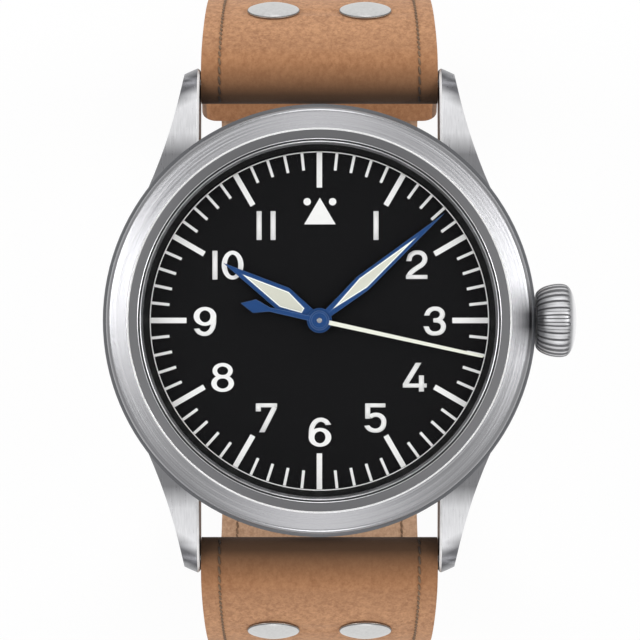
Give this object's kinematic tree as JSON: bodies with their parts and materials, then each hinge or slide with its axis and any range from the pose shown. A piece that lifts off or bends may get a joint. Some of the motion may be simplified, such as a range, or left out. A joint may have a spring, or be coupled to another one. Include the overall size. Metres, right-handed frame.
{
  "type": "pilot wristwatch",
  "caption": "Round steel pilot wristwatch with an onion crown, black numeral dial, blued lozenge hands and a riveted leather strap buckled into a loop.",
  "frame": {"origin": "on the hands' axis at the case back's outer face", "axes": "+Z along the hands' axis towards the crystal, +Y to 12 o'clock, +X to the crown at 3 o'clock"},
  "size_m": [0.0434, 0.0652, 0.0586],
  "materials": {
    "case_steel": "brushed",
    "rivet_steel": "satin",
    "buckle_steel": "satin",
    "sapphire": "polished",
    "seal": "matte",
    "black_metal": "satin",
    "dial_black": "matte",
    "blued_steel": "polished blued",
    "lume": "matte",
    "pinion_steel": "polished",
    "wheel_brass": "satin",
    "plated_brass": "plated",
    "rotor_metal": "brushed",
    "ring_plastic": "matte",
    "strap_leather": "nubuck",
    "lining_leather": "smooth"
  },
  "bodies": {
    "watch": {"balance_cock": "plated_brass", "bearing_screw": "pinion_steel", "bezel": "case_steel", "buckle_bar": "buckle_steel", "buckle_frame": "buckle_steel", "case_back": "case_steel", "case_back_gasket": "seal", "chapter_ring": "black_metal", "crown_tube": "case_steel", "crystal": "sapphire", "crystal_gasket": "seal", "dial": "dial_black", "fixed_keeper": "strap_leather", "mainplate": "plated_brass", "mid_case": "case_steel", "movement_ring": "ring_plastic", "movement_screws": "pinion_steel", "rivets_12": "rivet_steel", "rivets_6": "rivet_steel", "rotor_bearing": "pinion_steel", "spring_bar_12": "case_steel", "spring_bar_6": "case_steel", "strap_12": "strap_leather", "strap_12_lining": "lining_leather", "strap_6": "strap_leather", "strap_6_lining": "lining_leather", "train_bridge": "plated_brass"},
    "crown_slider": {"crown_gasket": "seal"},
    "crown_set": {"crown": "case_steel", "winding_stem": "case_steel"},
    "winding_gear": {"winding_pinion": "pinion_steel"},
    "minute_set": {"cannon_pinion": "pinion_steel", "minute_hand": "blued_steel", "minute_hand_lume": "lume"},
    "hour_set": {"hour_wheel": "wheel_brass", "hour_hand": "blued_steel", "hour_hand_lume": "lume"},
    "minute_gear": {"minute_wheel": "wheel_brass"},
    "seconds_set": {"seconds_arbor": "pinion_steel", "seconds_hand": "blued_steel", "seconds_hand_lume": "lume"},
    "rotor_set": {"rotor": "rotor_metal"},
    "balance_set": {"balance_wheel": "wheel_brass"},
    "tongue_set": {"buckle_tongue": "buckle_steel"},
    "keeper_slider": {"free_keeper": "strap_leather"}
  },
  "joints": [
    {"name": "crown_pull", "type": "slide", "parent": "watch", "child": "crown_slider", "axis": [1, 0, 0], "range_m": [0, 0.0012]},
    {"name": "crown_turn", "type": "hinge", "parent": "crown_slider", "child": "crown_set", "pos_m": [0.0219, 0, 0.0045], "axis": [1, 0, 0], "continuous": true},
    {"name": "winding_turn", "type": "hinge", "parent": "watch", "child": "winding_gear", "pos_m": [0.0115, 0, 0.0045], "axis": [1, 0, 0], "continuous": true},
    {"name": "minute_turn", "type": "hinge", "parent": "watch", "child": "minute_set", "pos_m": [0, 0, 0.007], "axis": [0, 0, 1], "continuous": true},
    {"name": "hour_turn", "type": "hinge", "parent": "watch", "child": "hour_set", "pos_m": [0, 0, 0.007], "axis": [0, 0, 1], "continuous": true},
    {"name": "minute_wheel_turn", "type": "hinge", "parent": "watch", "child": "minute_gear", "pos_m": [-0.00326, -0.00152, 0.0055], "axis": [0, 0, 1], "continuous": true},
    {"name": "seconds_turn", "type": "hinge", "parent": "watch", "child": "seconds_set", "pos_m": [0, 0, 0.007], "axis": [0, 0, 1], "continuous": true},
    {"name": "rotor_spin", "type": "hinge", "parent": "watch", "child": "rotor_set", "pos_m": [0, 0, 0.002], "axis": [0, 0, 1], "continuous": true},
    {"name": "balance_swing", "type": "hinge", "parent": "watch", "child": "balance_set", "pos_m": [-0.0054, -0.0056, 0.0032], "axis": [0, 0, 1], "range_deg": [-270, 270], "stiffness_Nm_per_rad": 0.00000048},
    {"name": "tongue_lift", "type": "hinge", "parent": "watch", "child": "tongue_set", "pos_m": [0, -0.0035, -0.04341], "axis": [1, 0, 0], "range_deg": [0, 8]},
    {"name": "keeper_slide", "type": "slide", "parent": "watch", "child": "keeper_slider", "axis": [0, 0.7431, 0.6691], "range_m": [-0.001, 0.001]}
  ],
  "couplings": [
    {"joint": "winding_turn", "follows": "crown_turn", "ratio": 1},
    {"joint": "hour_turn", "follows": "minute_turn", "ratio": 0.083333},
    {"joint": "minute_wheel_turn", "follows": "minute_turn", "ratio": -0.33333},
    {"joint": "seconds_turn", "follows": "minute_turn", "ratio": 60}
  ]
}
